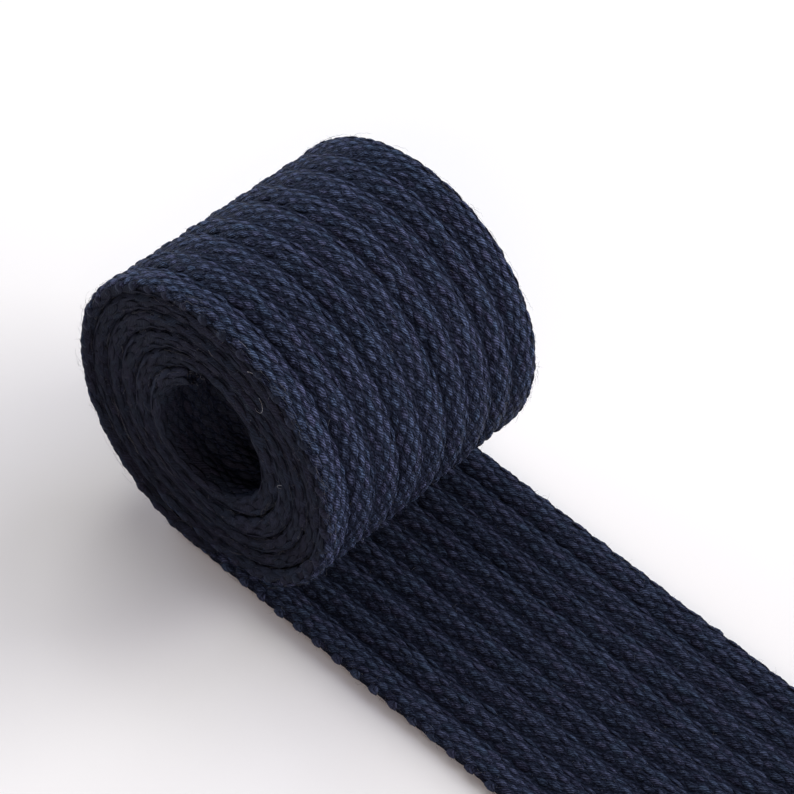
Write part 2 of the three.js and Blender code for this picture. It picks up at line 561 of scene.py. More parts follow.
@dataclass(frozen=True)
class StitchShape:
    """One warp stitch: a plump length of yarn that rises out of the weave and dips back into it."""

    length: float = 3.3
    half_width: float = 0.62
    half_height: float = 0.28
    taper: float = 0.92
    plumpness: float = 0.65
    dip: float = 0.35
    dip_power: float = 1.8
    rise: float = 0.07
    slant: float = 0.07
    # Size of the painted highlight on the stitch's crest.
    highlight_length: float = 0.38
    highlight_width: float = 0.38
    yarn_radius: float = 0.5
    rings: tuple[float, ...] = (-0.84, -0.56, -0.2, 0.2, 0.56, 0.84)
    angles: tuple[float, ...] = (-95.0, -48.0, 0.0, 48.0, 95.0, 180.0)

    def template(self) -> tuple[np.ndarray, np.ndarray, np.ndarray, np.ndarray]:
        """The stitch's grid before it is placed.

        Returns:
            The points as share along and angle; the faces' corners; the corners a face; and each
            corner's own share along and unwrapped angle.
        """
        around, rings = len(self.angles), self.rings
        points = [(-1.0, 0.0)] + [(t, a) for t in rings for a in self.angles] + [(1.0, 0.0)]
        last = len(points) - 1
        corners, counts, unwrapped = [], [], []

        def face(*members: tuple[int, float, float]) -> None:
            """Adds one face from its corners' index, share along and angle."""
            corners.extend(m[0] for m in members)
            unwrapped.extend((m[1], m[2]) for m in members)
            counts.append(len(members))

        for k in range(around):
            low = self.angles[k] if k < around - 1 else -180.0
            high = self.angles[k + 1] if k < around - 1 else self.angles[0]
            after, middle = (k + 1) % around, (low + high) / 2.0
            end = last - around
            face((0, -1.0, middle), (1 + k, rings[0], low), (1 + after, rings[0], high))
            for i, (t, u) in enumerate(zip(rings[:-1], rings[1:])):
                a, b = 1 + i * around, 1 + (i + 1) * around
                face((a + k, t, low), (b + k, u, low), (b + after, u, high), (a + after, t, high))
            face((end + k, rings[-1], low), (last, 1.0, middle), (end + after, rings[-1], high))
        return np.array(points), np.array(corners), np.array(counts), np.array(unwrapped)

    def local(self, share: np.ndarray, angle: np.ndarray) -> tuple[np.ndarray, np.ndarray, np.ndarray]:
        """Where points of the grid lie in the stitch itself.

        Args:
            share: share along, from -1 to 1.
            angle: angle round the yarn, in degrees from its top.

        Returns:
            Along, across and above the stitch's own seat, in mm.
        """
        swell = np.clip(1.0 - self.taper * share**2, 0.0, 1.0) ** self.plumpness
        swell = np.where(np.abs(share) >= 1.0, 0.0, swell)
        turn = np.radians(angle)
        crest = self.rise - self.dip * np.abs(share) ** self.dip_power
        across = self.half_width * swell * np.sin(turn)
        return share * self.length / 2.0, across, crest + self.half_height * swell * (np.cos(turn) - 1.0)

    def crest_distance(self, share: np.ndarray, angle: np.ndarray) -> np.ndarray:
        """How far points of the grid lie from the top of the stitch, where its painted highlight is
        brightest.

        Args:
            share: share along, from -1 to 1.
            angle: angle round the yarn, in degrees from its top.

        Returns:
            A share from 0, on the very top, to 1.
        """
        along, aside = share / self.highlight_length, np.sin(np.radians(angle) / 2.0) / self.highlight_width
        return 1.0 - np.exp(-(along**2) - aside**2)

    def yarn_map(self, unwrapped: np.ndarray) -> np.ndarray:
        """Places along and round the yarn, in mm, for corners given by share along and angle."""
        return unwrapped * [self.length / 2.0, math.radians(self.yarn_radius)]

    def bake_map(self, unwrapped: np.ndarray) -> np.ndarray:
        """Places of the corners within a bake cell: what shows fills it, and the underside is a strip.

        Args:
            unwrapped: the corners' share along and unwrapped angle.

        Returns:
            A place for each corner, from 0 to 1.
        """
        half_along, half_shown, under_strip = 0.44, 0.38, 0.06
        share, angle, shown = unwrapped[:, 0], unwrapped[:, 1], self.angles[-2]
        inside = np.clip(angle / shown, -1, 1) * half_shown
        under = (np.abs(angle) - shown).clip(0) / (180.0 - shown) * under_strip
        return 0.5 + np.stack([share * half_along, inside + np.sign(angle) * under], 1)


@dataclass(frozen=True)
class Unevenness:
    """How much the stitches differ from one to the next, as the spread of each measure."""

    size: float = 0.06
    length: float = 0.05
    width: float = 0.06
    lift: float = 0.045
    bow: float = 0.04
    turn: float = 0.055
    aside: float = 0.035
    along: float = 0.1
    tone: float = 0.22


@dataclass
class Weave:
    """Lays warp stitches in columns along the tape, every second column half a repeat further on."""

    section: TapeSection
    line: TapeLine
    repeat: float = 4.26
    tone: float = 0.5
    uneven: Unevenness = field(default_factory=Unevenness)
    rng: np.random.Generator = field(default_factory=lambda: np.random.default_rng(SEED))

    def __post_init__(self) -> None:
        """Works out the columns once."""
        self.columns = self.section.columns()
        self.per_face = self.section.rib_columns * (self.section.ribs - 2)
        half = self.section.edge_columns // 2
        self.edges = (self.per_face + half, 2 * self.per_face + self.section.edge_columns + half)

    def face_columns(self, side: Side) -> np.ndarray:
        """Columns of one face, as far as the middle of each selvedge.

        Args:
            side: the face.

        Returns:
            The columns' numbers, in order across the tape.
        """
        half = self.section.edge_columns // 2
        start = 0 if side is Side.OUTSIDE else self.per_face + self.section.edge_columns
        return np.arange(start - half, start + self.per_face + half) % len(self.columns)

    def edge_columns(self, inwards: int) -> np.ndarray:
        """Columns that wrap both selvedges.

        Args:
            inwards: how many columns of each rib half count, from the very edge.

        Returns:
            The columns' numbers.
        """
        runs = [np.arange(middle - inwards, middle + inwards) for middle in self.edges]
        return np.concatenate(runs) % len(self.columns)

    def rims(self) -> np.ndarray:
        """The columns where each selvedge turns on to the outside face, and the one beside each."""
        first, second = self.edges[0] - 3, self.edges[1] + 2
        return np.array([first, first + 1, second, second - 1]) % len(self.columns)

    def seats(self, column: np.ndarray) -> Seat:
        """The y, height and lean of some columns, each as an upright array."""
        y, height, lean = self.columns[column].T[..., None]
        return y, height, lean

    def centres(self, columns: np.ndarray, start: float, end: float) -> tuple[np.ndarray, np.ndarray]:
        """Middles of the stitches on some columns.

        Args:
            columns: the columns' numbers.
            start: length along the tape to start at.
            end: length to stop at.

        Returns:
            Each stitch's length along the tape, and its column.
        """
        along, held = [], []
        for column in columns:
            phase = 0.5 * (column % 2)
            first, last = math.ceil(start / self.repeat - phase), math.floor(end / self.repeat - phase)
            rows = np.arange(first, last + 1)
            along.append((rows + phase) * self.repeat)
            held.append(np.full(len(rows), column))
        return np.concatenate(along), np.concatenate(held)

    def stitches(
        self, columns: np.ndarray, start: float, end: float, shape: StitchShape, rims_lighter: float = 0.0
    ) -> MeshParts:
        """Makes every stitch on some columns of a stretch of tape.

        Args:
            columns: the columns' numbers.
            start: length along the tape to start at.
            end: length to stop at.
            shape: the stitch.
            rims_lighter: how much lighter in tone the stitches on the outer rims are.

        Returns:
            The stitches' points and faces.
        """
        along, column = self.centres(columns, start, end)
        grid, corners, counts, unwrapped = shape.template()
        rng, uneven, n = self.rng, self.uneven, len(along)

        def vary(middle: float, spread: float) -> np.ndarray:
            """A value at random for each stitch."""
            return rng.normal(middle, spread, (n, 1))

        ahead, aside, above = shape.local(grid[:, 0], grid[:, 1])
        size = vary(1.0, uneven.size)
        ahead = ahead * (size * vary(1.0, uneven.length))
        aside = aside * (size * vary(1.0, uneven.width))
        above = above + vary(0.0, uneven.lift)
        aside = aside + vary(0.0, uneven.bow) * (1.0 - grid[:, 0] ** 2)
        turn = shape.slant + vary(0.0, uneven.turn)
        y, height, lean = self.seats(column)
        y = y + vary(0.0, uneven.aside)
        s = along[:, None] + vary(0.0, uneven.along) + ahead * np.cos(turn) - aside * np.sin(turn)
        offset = rng.uniform(0.0, YARN_SPAN, (n, 1, 2))
        wide = max(1, math.ceil(math.sqrt(n * 0.7)))
        # Tone: lighter on the outer rims, and on the ribs' crests partly for wear, with painted shade in
        # the valleys.
        wear_and_shade = rims_lighter * np.isin(column, self.rims()) + self.section.wear_and_shade(self.columns[column, 1])
        return MeshParts.copies(
            self.line.stand((y, height, lean), s, ahead * np.sin(turn) + aside * np.cos(turn), above),
            corners,
            counts,
            shape.yarn_map(unwrapped) + offset,
            (shape.bake_map(unwrapped) + cells(n, wide)) / [wide, math.ceil(n / wide)],
            rng.normal(self.tone, uneven.tone, n) + wear_and_shade,
            shape.crest_distance(grid[:, 0], grid[:, 1]),
        )


@dataclass
class WeftTurns:
    """The weft yarn where it turns back round the selvedges: one small bump for each repeat."""

    weave: Weave
    stand_out: float = 0.38
    reach: float = 1.5
    radius: float = 0.42
    spread: float = 2.6
    taper: float = 0.8
    dip: float = 0.75
    dip_power: float = 2.5
    skew: float = 0.25
    phase: float = 0.25
    tone: float = 0.45
    uneven_lift: float = 0.05
    uneven_size: float = 0.08
    uneven_skew: float = 0.12
    uneven_tone: float = 0.15
    yarn_radius: float = 0.5
    rings: int = 7
    around: int = 6
    rng: np.random.Generator = field(default_factory=lambda: np.random.default_rng(SEED + 2))

    def build(self, start: float, end: float) -> MeshParts:
        """Makes the turns on both selvedges of a stretch of tape.

        Args:
            start: length along the tape to start at.
            end: length to stop at.

        Returns:
            The turns' points and faces.
        """
        section, repeat, rng = self.weave.section, self.weave.repeat, self.rng
        rows = np.arange(math.ceil(start / repeat), math.floor(end / repeat)) + self.phase
        along = np.concatenate([rows, rows + 0.5])[:, None, None] * repeat
        middle = np.repeat([section.edge_middle(1), section.edge_middle(-1)], len(rows))
        n, share = len(along), np.linspace(-1.0, 1.0, self.rings)
        spacing = middle[:, None] + share * self.reach
        y, height, lean = section.places(spacing.ravel()).T.reshape(3, n, -1, 1)
        lift = self.stand_out - self.dip * np.abs(share) ** self.dip_power - self.radius
        lift = lift + rng.normal(0.0, self.uneven_lift, (n, 1))
        size = np.sqrt(1.0 - self.taper * share**2) * self.radius
        size = size * rng.normal(1.0, self.uneven_size, (n, 1))
        turn = np.linspace(0.0, 2.0 * math.pi, self.around, endpoint=False)
        sideways = size[..., None] * np.sin(turn) * self.spread
        upward = size[..., None] * np.cos(turn) + lift[..., None]
        skew = self.skew * share[:, None] + rng.normal(0.0, self.uneven_skew, (n, 1, 1))
        quads, ends = tube_faces(self.rings, self.around)
        corners = np.concatenate([quads.ravel(), ends.ravel()])
        ring, place = corners // self.around, corners % self.around
        yarn = np.stack([share[ring] * self.reach, turn[place] * self.yarn_radius], 1)
        inner = np.stack([ring / (self.rings - 1), place / (self.around - 1)], 1)
        inner = CELL_MARGIN + CELL_SHARE * inner
        wide = math.ceil(math.sqrt(n))
        return MeshParts.copies(
            self.weave.line.stand((y, height, lean), along - sideways + skew, 0.0, upward),
            corners,
            np.repeat([4, self.around], [len(quads), len(ends)]),
            yarn + rng.uniform(0.0, YARN_SPAN, (n, 1, 2)),
            (inner + cells(n, wide)) / wide,
            rng.normal(self.tone, self.uneven_tone, n).clip(0, 1),
            # Depth, which gives painted shade towards the ends of each turn.
            (np.abs(share) ** 2).repeat(self.around),
        )


@dataclass
class GroundStrip:
    """The strip under the stitches, where the weft and the dipping warp close the weave.

    Its bake map is the unrolled strip, with the two cut ends in a narrow column beside it.
    """

    section: TapeSection
    line: TapeLine
    inset: float = 0.13
    around: int = 100
    step: float = 1.5
    tone: float = 0.4
    # The strip counts as lying deep, which gives it painted shade and little painted highlight.
    depth: float = 0.6
    strip_share: tuple[float, float] = (0.96, 0.98)
    strip_margin: tuple[float, float] = (0.0, 0.01)
    end_middle: tuple[float, float] = (0.975, 0.5)
    end_scale: tuple[float, float] = (200.0, 60.0)
    end_gap: tuple[float, float] = (0.012, 0.0)

    def build(self, start: float, end: float) -> MeshParts:
        """Makes the strip over a stretch of tape, closed at both ends.

        Args:
            start: length along the tape to start at.
            end: length to stop at.

        Returns:
            The strip's points and faces.
        """
        whole = self.section.whole_round()
        y, height, lean = self.section.places(np.linspace(0, whole, self.around, endpoint=False)).T
        y, height = y - self.inset * np.sin(lean), height - self.inset * np.cos(lean)
        steps = max(2, math.ceil((end - start) / self.step)) + 1
        along = np.linspace(start, end, steps)
        ring = np.tile(np.arange(self.around), steps)
        quads, ends = tube_faces(steps, self.around)
        i, k = quads[:, 0] // self.around, quads[:, 0] % self.around
        run = np.stack([along[i], along[i + 1], along[i + 1], along[i]], 1)
        turn = np.stack([k, k, k + 1, k + 1], 1) / self.around
        yarn = np.stack([run, turn * whole], -1).reshape(-1, 2)
        strip = np.stack([(run - start) / (end - start), turn], -1).reshape(-1, 2) * self.strip_share
        face = np.stack([height, y], 1)
        end_map = np.array(self.end_middle) + face / self.end_scale
        return MeshParts(
            self.line.place(along.repeat(self.around), y[ring], height[ring]),
            np.concatenate([quads.ravel(), ends.ravel()]),
            np.repeat([4, self.around], [len(quads), len(ends)]),
            np.concatenate([yarn, face[:, ::-1], face[::-1, ::-1]]),
            np.concatenate([strip + self.strip_margin, end_map, end_map[::-1] + self.end_gap]),
            # Tone: crests lighter partly for wear, valleys darker as painted shade.
            self.tone + self.section.wear_and_shade(height[ring] + self.inset),
            np.full(len(ring), self.depth),
        )


@dataclass(frozen=True)
class Lint:
    """A pale curled fibre on the near end face: where its curl lies, in x and z, and how it bends."""

    x: float
    z: float
    radius: float
    start: float
    sweep: float
    face: float = -25.5
    lift: float = 0.4
    points: int = 13

    def spine(self) -> np.ndarray:
        """Points along the fibre, in mm."""
        share = np.linspace(0.0, 1.0, self.points)
        angle = np.radians(self.start + self.sweep * share)
        x, z = self.x + self.radius * np.cos(angle), self.z + self.radius * np.sin(angle)
        return np.stack([x, self.face - self.lift * np.sin(math.pi * share), z], 1)


LINT = (
    Lint(13.0, 47.0, 1.5, 80.0, -190.0),
    Lint(11.2, 52.6, 0.45, 20.0, 200.0),
    Lint(2.6, 50.0, 0.6, 140.0, -160.0),
    Lint(19.2, 32.6, 0.4, 60.0, 250.0),
)


@dataclass
class Fuzz:
    """Loose fibres that stand out of the cotton or lie on it, and the frayed ends of its yarns."""

    weave: Weave
    thickness: float = 0.02
    lint_thickness: float = 0.044
    short_points: int = 4
    long_points: int = 7
    cut_points: int = 6
    pale_share: float = 0.012
    navy_shade: float = 0.4
    trail_shade: float = 0.6
    rng: np.random.Generator = field(default_factory=lambda: np.random.default_rng(SEED + 1))

    def grow(self, columns: np.ndarray, start: float, end: float, count: int, reach: float) -> MeshParts:
        """Grows short fibres at random on a stretch of tape.

        Args:
            columns: the columns that they grow on.
            start: length along the tape to start at.
            end: length to stop at.
            count: how many fibres.
            reach: their usual length, in mm.

        Returns:
            The fibres' points and faces.
        """
        root, droop, reach_aside, bend = 0.1, 0.35, 0.8, 0.45
        rng, each = self.rng, (count, 1)
        column = rng.choice(columns, count)
        along = rng.uniform(start, end, each)
        tilt = rng.normal(0.0, 0.45, each)
        length = reach * rng.lognormal(0.0, 0.45, each)
        share = np.linspace(0.0, 1.0, self.short_points)
        sweep = rng.normal(0.0, 0.8, each)
        curl = rng.normal(0.0, 0.9, each)
        up = length * (share * np.cos(sweep) - droop * share**2) - root
        side = length * (share * np.sin(sweep) * reach_aside + curl * share**2 * bend)
        drift = rng.normal(0.0, 0.6, each) * length * share**1.5
        return self.lay(column, along + drift, side, up, self.thickness, tilt=tilt)

    def trail(self, columns: np.ndarray, start: float, end: float, count: int) -> MeshParts:
        """Lays long fibres that have worked loose and run along a rim of the tape.

        Args:
            columns: the columns that they lie on.
            start: length along the tape to start at.
            end: length to stop at.
            count: how many fibres.

        Returns:
            The fibres' points and faces.
        """
        least_up, each = 0.12, (count, 1)
        rng = self.rng
        column = rng.choice(columns, count)
        length = rng.lognormal(1.0, 0.5, each)
        aside, above = np.cumsum(rng.normal(0.0, 0.14, (2, count, self.long_points)), axis=2)
        along = rng.uniform(start, end, each) + length * np.linspace(0.0, 1.0, self.long_points)
        side = rng.normal(0.0, 0.2, each) + aside
        up = least_up + np.abs(rng.normal(0.0, 0.08, each) + above)
        return self.lay(column, along, side, up, self.thickness, shade=self.trail_shade)

    def fray(
        self, columns: np.ndarray, end: float, way: float, many: int, reach: float, thick: float
    ) -> MeshParts:
        """Lets yarn ends and fibres stand out of a cut end of the tape.

        Args:
            columns: the columns whose yarns are cut.
            end: length along the tape to the cut.
            way: 1 where the tape ends past the cut, -1 where it starts there.
            many: how many strands each column has.
            reach: how far they usually stand out, in mm.
            thick: their radius at the root.

        Returns:
            The strands' points and faces.
        """
        root, waviness, deepest = 0.8, 0.16, 1.1
        rng, column = self.rng, np.repeat(columns, many)
        each, share = (len(column), 1), np.linspace(0.0, 1.0, self.cut_points)
        length = reach * rng.lognormal(0.0, 0.35, each)
        wander = np.cumsum(rng.normal(0.0, 1.0, (2, len(column), self.cut_points)), axis=2)
        aside, above = waviness * reach * wander * share
        side = rng.normal(0.0, 0.25, each) + aside
        up = above - rng.uniform(0.2, deepest, each)
        return self.lay(column, end + way * (length * share - root), side, up, thick)

    def lint(self, curls: tuple[Lint, ...]) -> MeshParts:
        """Makes the pale curled fibres that have caught on the end face."""
        spine = np.stack([curl.spine() for curl in curls])
        return self.sweep(spine, self.lint_thickness, np.ones(len(curls)))

    def lay(
        self,
        column: np.ndarray,
        along: np.ndarray,
        side: np.ndarray,
        up: np.ndarray,
        thick: float,
        tilt: np.ndarray | float = 0.0,
        shade: float = 1.0,
    ) -> MeshParts:
        """Lays fibres on the tape, and keeps them above the surface that it rests on.

        Args:
            column: the column that each starts from.
            along: lengths along the tape, for each fibre's points.
            side: steps across the tape from the column.
            up: steps straight away from it.
            thick: their radius at the root.
            tilt: how far each leans aside, in radians.
            shade: how much of their shade they keep.

        Returns:
            The fibres' points and faces.
        """
        y, height, lean = self.weave.seats(column)
        spine = self.weave.line.stand((y, height, lean + tilt), along, side, up)
        spine[..., 2] = np.maximum(spine[..., 2], thick)
        return self.sweep(spine, thick, shade * self.shades(len(column)))

    def shades(self, count: int) -> np.ndarray:
        """Gives each of a number of fibres a shade of its own: navy, but for a few pale ones."""
        pale = self.rng.random(count) < self.pale_share
        return np.where(pale, 1.0, self.rng.uniform(0.0, self.navy_shade, count))

    @staticmethod
    def sweep(spine: np.ndarray, thickness: float, shades: np.ndarray) -> MeshParts:
        """Gives fibres their thickness: three sides, a closed root and a pointed tip.

        Args:
            spine: an array of fibres by points by x, y and z, in mm.
            thickness: their radius at the root.
            shades: how pale each fibre is, from 0 to 1.

        Returns:
            The fibres' points and faces.
        """
        any_way = (0.31, 0.52, 0.79)
        count, rings = spine.shape[0], spine.shape[1] - 1
        along = np.gradient(spine, axis=1)
        along /= np.linalg.norm(along, axis=2, keepdims=True) + TINY
        aside = np.cross(along, any_way)
        aside /= np.linalg.norm(aside, axis=2, keepdims=True) + TINY
        above = np.cross(along, aside)
        taper = thickness * (1.0 - 0.5 * np.linspace(0, 1, rings))[None, :, None, None]
        angles = np.radians([0.0, 120.0, 240.0])[:, None]
        ring = aside[:, :-1, None] * np.cos(angles) + above[:, :-1, None] * np.sin(angles)
        points = (spine[:, :-1, None] + taper * ring).reshape(count, -1, 3)
        sides = tube_faces(rings, 3)[0][:, [0, 3, 2, 1]]
        end, tip = 3 * (rings - 1), 3 * rings
        point = [end, end + 1, tip, end + 1, end + 2, tip, end + 2, end, tip]
        corners = np.concatenate([sides.ravel(), [2, 1, 0], point])
        share, edge = (corners // 3) / rings, corners % 3
        wide = math.ceil(math.sqrt(count))
        cell = cells(count, wide)
        return MeshParts.copies(
            np.concatenate([points, spine[:, -1:]], 1),
            corners,
            np.repeat([4, 3], [len(sides), 4]),
            np.stack([share, edge], 1) + cell,
            (np.stack([CELL_MARGIN + CELL_SHARE * share, 0.2 + 0.3 * edge], 1) + cell) / wide,
            shades,
            np.zeros(tip + 1),
        )


class Nodes:
    """Adds shader nodes to a tree and joins them."""

    def __init__(self, tree: bpy.types.NodeTree) -> None:
        """Keeps the tree, emptied."""
        self.tree = tree
        tree.nodes.clear()

    def feed(self, node: bpy.types.Node, inputs: dict) -> None:
        """Gives a node its inputs.

        Args:
            node: the node.
            inputs: values, or sockets to join, by the input's name or number.
        """
        for key, value in inputs.items():
            if isinstance(value, bpy.types.NodeSocket):
                self.tree.links.new(value, node.inputs[key])
            else:
                node.inputs[key].default_value = value

    def add(self, kind: str, inputs: dict | None = None, **settings: object) -> bpy.types.Node:
        """Adds one node.

        Args:
            kind: its type's name.
            inputs: its inputs, as feed takes them.
            settings: its own settings.

        Returns:
            The node.
        """
        node = self.tree.nodes.new(kind)
        for name, value in settings.items():
            setattr(node, name, value)
        self.feed(node, inputs or {})
        return node

    def math(self, operation: str, *values: object) -> bpy.types.NodeSocket:
        """Adds a sum and gives its result."""
        return self.add("ShaderNodeMath", dict(enumerate(values)), operation=operation).outputs[0]

    def clamp(self, value: bpy.types.NodeSocket) -> bpy.types.NodeSocket:
        """Keeps a value between 0 and 1."""
        return self.add("ShaderNodeClamp", {0: value}).outputs[0]

    def mix(self, share: object, first: object, second: object, blend: str = "MIX") -> bpy.types.NodeSocket:
        """Mixes two colours and gives the result."""
        inputs = {0: share, 6: first, 7: second}
        return self.add("ShaderNodeMix", inputs, data_type="RGBA", blend_type=blend).outputs[2]

    def tone(self, name: str) -> bpy.types.NodeSocket:
        """Reads one of the meshes' own values."""
        return self.add("ShaderNodeAttribute", attribute_name=name).outputs["Fac"]


def new_group(
    name: str, inputs: dict[str, str], outputs: dict[str, str]
) -> tuple[Nodes, bpy.types.NodeOutputs, bpy.types.Node]:
    """Starts a shader node group.

    Args:
        name: the group's name.
        inputs: each input's name and kind of socket.
        outputs: each output's name and kind of socket.

    Returns:
        A helper for its tree, the sockets that it is given, and its output node.
    """
    tree = bpy.data.node_groups.new(name, "ShaderNodeTree")
    for names, way in ((inputs, "INPUT"), (outputs, "OUTPUT")):
        for label, kind in names.items():
            tree.interface.new_socket(name=label, in_out=way, socket_type="NodeSocket" + kind)
    nodes = Nodes(tree)
    return nodes, nodes.add("NodeGroupInput").outputs, nodes.add("NodeGroupOutput")


def new_material(name: str) -> tuple[bpy.types.Material, Nodes]:
    """Starts a material.

    Args:
        name: the material's name.

    Returns:
        The material, and a helper for its tree.
    """
    material = bpy.data.materials.new(name)
    material.use_nodes = True
    return material, Nodes(material.node_tree)


def add_surface(nodes: Nodes, inputs: dict) -> None:
    """Adds a material's shader, with its inputs, and its output."""
    shader = nodes.add("ShaderNodeBsdfPrincipled", inputs)
    nodes.add("ShaderNodeOutputMaterial", {"Surface": shader.outputs[0]})


@dataclass(frozen=True)
class Plies:
    """Twisted plies: round strands that run slantwise along the yarn, with fine fibres on them."""

    wander_scale: float = 0.9
    wander: float = 1.6
    roundness: float = 0.8
    fibre_stretch: float = 0.4
    fibre_detail: float = 3.0
    fibre_roughness: float = 0.7
    fibre_height: float = 0.7

    def build(self) -> bpy.types.NodeTree:
        """Makes the group.

        Returns:
            The group. It puts out a height, how deep a place lies between two plies, and the fibres.
        """
        floats = dict.fromkeys(("Ply Width", "Slant", "Fibre Scale"), "Float")
        outputs = dict.fromkeys(("Height", "Groove", "Fibre"), "Float")
        nodes, given, out = new_group("yarn plies", {"Vector": "Vector", **floats}, outputs)
        place = given["Vector"]
        split = nodes.add("ShaderNodeSeparateXYZ", {0: place}).outputs
        coarse = {"Vector": place, "Scale": self.wander_scale, "Detail": 1.0}
        wander = nodes.add("ShaderNodeTexNoise", coarse)
        slanted = nodes.math("MULTIPLY_ADD", split[0], given["Slant"], split[1])
        phase = nodes.math("DIVIDE", slanted, given["Ply Width"])
        phase = nodes.math("MULTIPLY_ADD", wander.outputs[0], self.wander, phase)
        wave = nodes.math("ABSOLUTE", nodes.math("SINE", nodes.math("MULTIPLY", phase, math.pi)))
        groove = nodes.math("SUBTRACT", 1.0, nodes.math("POWER", wave, self.roundness))
        stretch = {0: place, 1: (self.fibre_stretch, 1.0, 1.0)}
        fibre = nodes.add(
            "ShaderNodeTexNoise",
            {
                "Vector": nodes.add("ShaderNodeVectorMath", stretch, operation="MULTIPLY").outputs[0],
                "Scale": given["Fibre Scale"],
                "Detail": self.fibre_detail,
                "Roughness": self.fibre_roughness,
            },
        ).outputs[0]
        height = nodes.math("MULTIPLY_ADD", fibre, self.fibre_height, wave)
        nodes.feed(out, {"Height": height, "Groove": groove, "Fibre": fibre})
        return nodes.tree


@dataclass(frozen=True)
class DyeAndPaintedLight:
    """Navy dye with painted light: painted shade where the yarn dips and between its plies, a painted
    highlight on its crests and bright fibres, and a tint that is a little uneven at random.
    """

    # Share of the painted highlight on crests and bright fibres: where it starts, and what raises or lowers
    # it.
    highlight_from: float = -1.45
    highlight_by_fibre: float = 4.0
    highlight_by_tone: float = 0.4
    highlight_by_depth: float = -0.65
    # How far depth and ply grooves darken the colour towards the painted shade.
    shade_by_depth: float = 0.12
    shade_by_groove: float = 0.85
    tints: float = 23.0
    warm: Colour = (1.11, 0.965, 1.0)
    cool: Colour = (0.905, 1.025, 1.0)

    def build(self) -> bpy.types.NodeTree:
        """Makes the group.

        Returns:
            The group. It puts out the colour.
        """
        colours = dict.fromkeys(("Painted Shade", "Navy", "Painted Highlight"), "Color")
        floats = dict.fromkeys(("Tone", "Depth", "Groove", "Fibre"), "Float")
        nodes, given, out = new_group("navy dye and painted light", {**colours, **floats}, {"Color": "Color"})
        # The painted highlight's share: more on bright fibres and raised tone, less deeper in the yarn.
        lift = nodes.math("MULTIPLY_ADD", given["Fibre"], self.highlight_by_fibre, self.highlight_from)
        lift = nodes.math("MULTIPLY_ADD", given["Tone"], self.highlight_by_tone, lift)
        lift = nodes.math("MULTIPLY_ADD", given["Depth"], self.highlight_by_depth, lift)
        colour = nodes.mix(nodes.clamp(lift), given["Navy"], given["Painted Highlight"])
        hue = nodes.math("PINGPONG", nodes.math("MULTIPLY", given["Tone"], self.tints), 1.0)
        tint = nodes.mix(hue, (*self.warm, 1.0), (*self.cool, 1.0))
        colour = nodes.mix(1.0, colour, tint, "MULTIPLY")
        # Painted shade: darker deeper in the yarn and in the grooves between plies.
        painted_shade_share = nodes.math("MULTIPLY", given["Depth"], self.shade_by_depth)
        painted_shade_share = nodes.math("MULTIPLY_ADD", given["Groove"], self.shade_by_groove, painted_shade_share)
        nodes.feed(out, {"Color": nodes.mix(nodes.clamp(painted_shade_share), colour, given["Painted Shade"])})
        return nodes.tree


@dataclass(frozen=True)
class CottonFinish:
    """Dyed cotton yarn: matt, fibrous, with twisted plies and a soft sheen at its rims."""

    name: str
    # Painted shade, in the yarn's dips and between its plies.
    painted_shade: Colour = (0.0033, 0.0043, 0.0090)
    navy: Colour = (0.0118, 0.0149, 0.0322)
    # Painted highlight, on the stitches' crests and on bright fibres.
    painted_highlight: Colour = (0.0935, 0.1230, 0.2290)
    sheen: Colour = (0.55, 0.66, 1.0)
    sheen_weight: float = 0.02
    sheen_roughness: float = 0.5
    roughness: float = 0.5
    specular: float = 0.015
    glint: Colour = (0.62, 0.74, 1.0)
    ply_width: float = 0.46
    ply_slant: float = -0.7
    fibre_scale: float = 2.6
    bump: float = 0.9
    bump_depth: float = 0.16

    def build(self, plies: bpy.types.NodeTree, dye_and_light: bpy.types.NodeTree) -> bpy.types.Material:
        """Makes the material.

        Args:
            plies: the yarn group.
            dye_and_light: the colour group.

        Returns:
            The material.
        """
        material, nodes = new_material(self.name)
        strands = nodes.add(
            "ShaderNodeGroup",
            {
                "Vector": nodes.add("ShaderNodeUVMap", uv_map="Yarn").outputs[0],
                "Ply Width": self.ply_width,
                "Slant": self.ply_slant,
                "Fibre Scale": self.fibre_scale,
            },
            node_tree=plies,
        ).outputs
        colour = nodes.add(
            "ShaderNodeGroup",
            {
                "Painted Shade": (*self.painted_shade, 1.0),
                "Navy": (*self.navy, 1.0),
                "Painted Highlight": (*self.painted_highlight, 1.0),
                "Tone": nodes.tone("tone"),
                "Depth": nodes.tone("depth"),
                "Groove": strands["Groove"],
                "Fibre": strands["Fibre"],
            },
            node_tree=dye_and_light,
        )
        relief = {"Strength": self.bump, "Distance": self.bump_depth * MM, "Height": strands["Height"]}
        add_surface(
            nodes,
            {
                "Base Color": colour.outputs["Color"],
                "Roughness": self.roughness,
                "Normal": nodes.add("ShaderNodeBump", relief).outputs[0],
                "Specular IOR Level": self.specular,
                "Specular Tint": (*self.glint, 1.0),
                "Sheen Weight": self.sheen_weight,
                "Sheen Roughness": self.sheen_roughness,
                "Sheen Tint": (*self.sheen, 1.0),
            },
        )
        return material


@dataclass(frozen=True)
class FibreFinish:
    """Loose fibres: one even cotton colour with a little change from fibre to fibre."""

    name: str
    dark: Colour = (0.020, 0.022, 0.034)
    light: Colour = (0.380, 0.390, 0.430)
    roughness: float = 0.7

    def build(self) -> bpy.types.Material:
        """Makes the material."""
        material, nodes = new_material(self.name)
        colour = nodes.mix(nodes.tone("tone"), (*self.dark, 1.0), (*self.light, 1.0))
        add_surface(nodes, {"Base Color": colour, "Roughness": self.roughness})
        return material


@dataclass(frozen=True)
class FloorFinish:
    """A plain pale sheet of studio paper."""

    name: str = "studio_paper"
    colour: Colour = (0.86, 0.85, 0.86)
    roughness: float = 0.9

    def build(self) -> bpy.types.Material:
        """Makes the material."""
        material, nodes = new_material(self.name)
        add_surface(nodes, {"Base Color": (*self.colour, 1.0), "Roughness": self.roughness})
        return material


